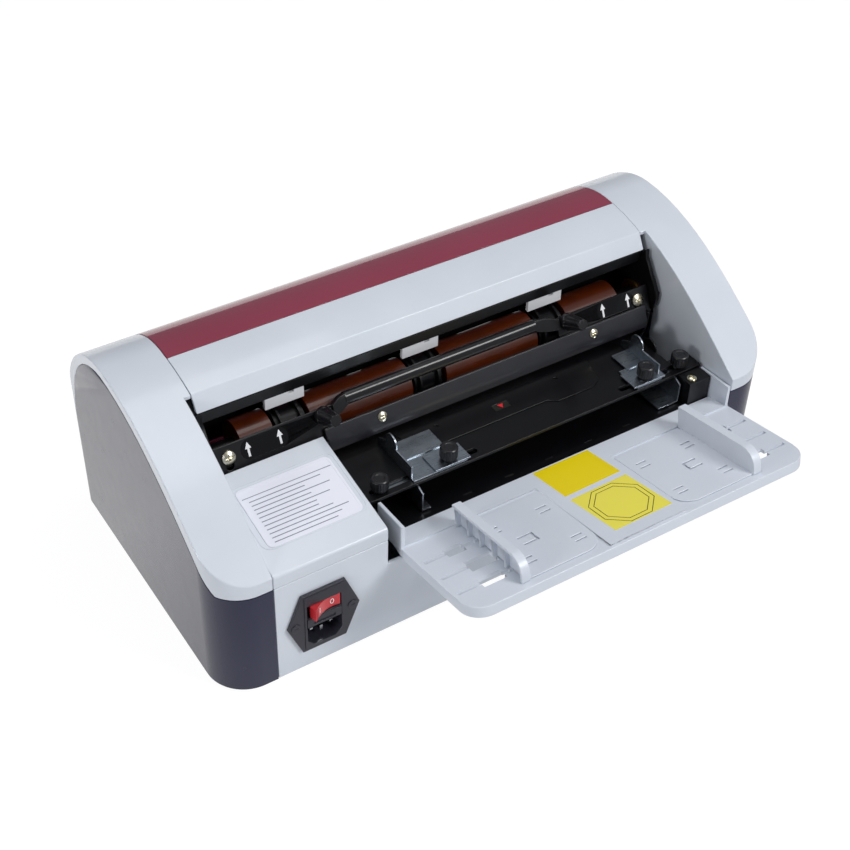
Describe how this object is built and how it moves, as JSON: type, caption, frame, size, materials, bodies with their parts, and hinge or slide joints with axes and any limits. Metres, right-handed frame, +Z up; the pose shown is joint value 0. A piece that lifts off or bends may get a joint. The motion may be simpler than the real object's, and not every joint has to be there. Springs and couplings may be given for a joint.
{
  "type": "motorised paper and card cutter",
  "caption": "Desktop electric cutter with feed tables, cross bars, rollers with disc blades, a red cover window and a tilted tray with sliding fences.",
  "frame": {"origin": "middle of the footprint of casing and tray, on the surface the feet stand on", "axes": "+X to the right along the shafts, +Y to the back, +Z up"},
  "size_m": [0.43, 0.3032, 0.162],
  "materials": {
    "casing_light": "fine moulded texture",
    "side_panel": "fine moulded texture",
    "window_red": "tinted, smooth",
    "label_plate": "satin film",
    "foot_rubber": "matt",
    "black_steel": "semi-gloss black coating",
    "bar_grey": "satin dark grey",
    "push_black": "satin",
    "brass": "plated",
    "steel": "turned",
    "spring_steel": "smooth",
    "clear_plastic": "clear",
    "guide_plastic": "moulded",
    "mark_red": "printed",
    "zinc": "zinc plated",
    "knob_black": "moulded",
    "roller_amber": "ground",
    "motor_grey": "satin",
    "circuit_board": "coated",
    "wire": "insulated",
    "inlet_dark": "moulded",
    "contact_metal": "plated",
    "switch_red": "gloss",
    "tray_plastic": "fine moulded texture",
    "rack_blue": "moulded"
  },
  "bodies": {
    "casing": {"base_shell": "casing_light", "rubber_feet": "foot_rubber", "left_end_cap": "casing_light", "right_end_cap": "casing_light", "left_side_panel": "side_panel", "right_side_panel": "side_panel", "rear_cover": "casing_light", "deck_cover": "casing_light", "deck_label": "label_plate", "left_frame_plate": "black_steel", "right_frame_plate": "black_steel", "tie_rods": "steel", "lip_plate": "black_steel", "left_bed_bracket": "black_steel", "right_end_bracket": "black_steel", "end_block": "black_steel", "end_block_screw": "steel", "cross_bar": "bar_grey", "cross_bar_screws": "brass", "push_bar_screws": "brass", "pressure_springs": "spring_steel", "clear_strippers": "clear_plastic", "rear_guide": "guide_plastic", "upper_bed": "black_steel", "bed_insert": "black_steel", "centre_mark": "mark_red", "lower_bed": "black_steel", "exit_plates": "steel", "shaft_bushes": "brass", "motor": "motor_grey", "control_board": "circuit_board", "wiring_loom": "wire", "inlet_housing": "inlet_dark", "inlet_pins": "contact_metal", "tray": "tray_plastic"},
    "cover": {"top_front_cover": "casing_light", "red_window": "window_red", "cover_hinge_pins": "steel"},
    "push_bar": {"push_bar": "push_black"},
    "left_lock_knob": {"left_lock_knob": "push_black"},
    "right_lock_knob": {"right_lock_knob": "push_black"},
    "left_guide": {"left_side_guide": "zinc"},
    "right_guide": {"right_side_guide": "zinc"},
    "left_lower_guide": {"left_lower_guide": "zinc"},
    "right_lower_guide": {"right_lower_guide": "zinc"},
    "left_inner_knob": {"left_inner_knob": "knob_black"},
    "right_inner_knob": {"right_inner_knob": "knob_black"},
    "left_outer_knob": {"left_outer_knob": "knob_black"},
    "right_outer_knob": {"right_outer_knob": "knob_black"},
    "upper_train": {"upper_shaft": "steel", "upper_rollers": "roller_amber"},
    "middle_train": {"middle_shaft": "steel"},
    "lower_train": {"lower_shaft": "steel"},
    "idler": {"idler_gear": "guide_plastic"},
    "motor_pinion": {"motor_pinion": "steel"},
    "fuse_drawer": {"fuse_drawer": "inlet_dark"},
    "rocker": {"rocker": "switch_red"},
    "left_fence": {"left_fence": "tray_plastic"},
    "right_fence": {"right_fence": "tray_plastic"},
    "fence_pinion": {"fence_pinion": "rack_blue"}
  },
  "joints": [
    {"name": "cover_hinge", "type": "hinge", "parent": "casing", "child": "cover", "pos_m": [0, 0.12446, 0.1394], "axis": [-1, 0, 0], "range_deg": [0, 75]},
    {"name": "push_bar_slide", "type": "slide", "parent": "casing", "child": "push_bar", "axis": [0, 0.4226, 0.9063], "range_m": [0, 0.006], "stiffness_N_per_m": 250, "springref_m": -0.004},
    {"name": "left_lock_turn", "type": "hinge", "parent": "push_bar", "child": "left_lock_knob", "pos_m": [-0.0937, 0.01769, 0.11696], "axis": [0, -0.9063, 0.4226], "range_deg": [0, 90]},
    {"name": "right_lock_turn", "type": "hinge", "parent": "push_bar", "child": "right_lock_knob", "pos_m": [0.1006, 0.01769, 0.11696], "axis": [0, -0.9063, 0.4226], "range_deg": [0, 90]},
    {"name": "left_guide_slide", "type": "slide", "parent": "casing", "child": "left_guide", "axis": [1, 0, 0], "range_m": [-0.012, 0.011]},
    {"name": "right_guide_slide", "type": "slide", "parent": "casing", "child": "right_guide", "axis": [1, 0, 0], "range_m": [-0.015, 0.01]},
    {"name": "left_lower_slide", "type": "slide", "parent": "casing", "child": "left_lower_guide", "axis": [1, 0, 0], "range_m": [-0.005, 0.014]},
    {"name": "right_lower_slide", "type": "slide", "parent": "casing", "child": "right_lower_guide", "axis": [1, 0, 0], "range_m": [-0.01, 0]},
    {"name": "left_inner_knob_turn", "type": "hinge", "parent": "left_guide", "child": "left_inner_knob", "pos_m": [-0.031, -0.03444, 0.0885], "axis": [0, 0, 1], "range_deg": [0, 270]},
    {"name": "right_inner_knob_turn", "type": "hinge", "parent": "right_guide", "child": "right_inner_knob", "pos_m": [0.1315, -0.03444, 0.0885], "axis": [0, 0, 1], "range_deg": [0, 270]},
    {"name": "left_outer_knob_turn", "type": "hinge", "parent": "left_lower_guide", "child": "left_outer_knob", "pos_m": [-0.083, -0.03444, 0.0885], "axis": [0, 0, 1], "range_deg": [0, 270]},
    {"name": "right_outer_knob_turn", "type": "hinge", "parent": "right_lower_guide", "child": "right_outer_knob", "pos_m": [0.162, -0.03444, 0.0885], "axis": [0, 0, 1], "range_deg": [0, 270]},
    {"name": "middle_spin", "type": "hinge", "parent": "casing", "child": "middle_train", "pos_m": [0, 0.03456, 0.0735], "axis": [1, 0, 0], "continuous": true},
    {"name": "upper_spin", "type": "hinge", "parent": "casing", "child": "upper_train", "pos_m": [0, 0.03456, 0.1055], "axis": [1, 0, 0], "continuous": true},
    {"name": "lower_spin", "type": "hinge", "parent": "casing", "child": "lower_train", "pos_m": [0, 0.03456, 0.0415], "axis": [1, 0, 0], "continuous": true},
    {"name": "idler_spin", "type": "hinge", "parent": "casing", "child": "idler", "pos_m": [0, 0.06213, 0.03664], "axis": [1, 0, 0], "continuous": true},
    {"name": "motor_spin", "type": "hinge", "parent": "casing", "child": "motor_pinion", "pos_m": [0, 0.08006, 0.03821], "axis": [1, 0, 0], "continuous": true},
    {"name": "fuse_drawer_slide", "type": "slide", "parent": "casing", "child": "fuse_drawer", "axis": [0, -1, 0], "range_m": [0, 0.018]},
    {"name": "rocker_tilt", "type": "hinge", "parent": "casing", "child": "rocker", "pos_m": [-0.1464, -0.07144, 0.0538], "axis": [0, 0, -1], "range_deg": [0, 32]},
    {"name": "left_fence_slide", "type": "slide", "parent": "casing", "child": "left_fence", "axis": [-1, 0, 0], "range_m": [0, 0.033]},
    {"name": "right_fence_slide", "type": "slide", "parent": "casing", "child": "right_fence", "axis": [1, 0, 0], "range_m": [0, 0.033]},
    {"name": "fence_pinion_spin", "type": "hinge", "parent": "casing", "child": "fence_pinion", "pos_m": [0.0444, -0.11248, 0.07454], "axis": [0, -0.1822, -0.9833], "range_deg": [0, 260]}
  ],
  "couplings": [
    {"joint": "upper_spin", "follows": "middle_spin", "ratio": -1},
    {"joint": "lower_spin", "follows": "middle_spin", "ratio": -1},
    {"joint": "idler_spin", "follows": "middle_spin", "ratio": 1.3333},
    {"joint": "motor_spin", "follows": "middle_spin", "ratio": -2.6667},
    {"joint": "right_fence_slide", "follows": "left_fence_slide", "ratio": 1},
    {"joint": "fence_pinion_spin", "follows": "left_fence_slide", "rad_per_m": 125}
  ]
}
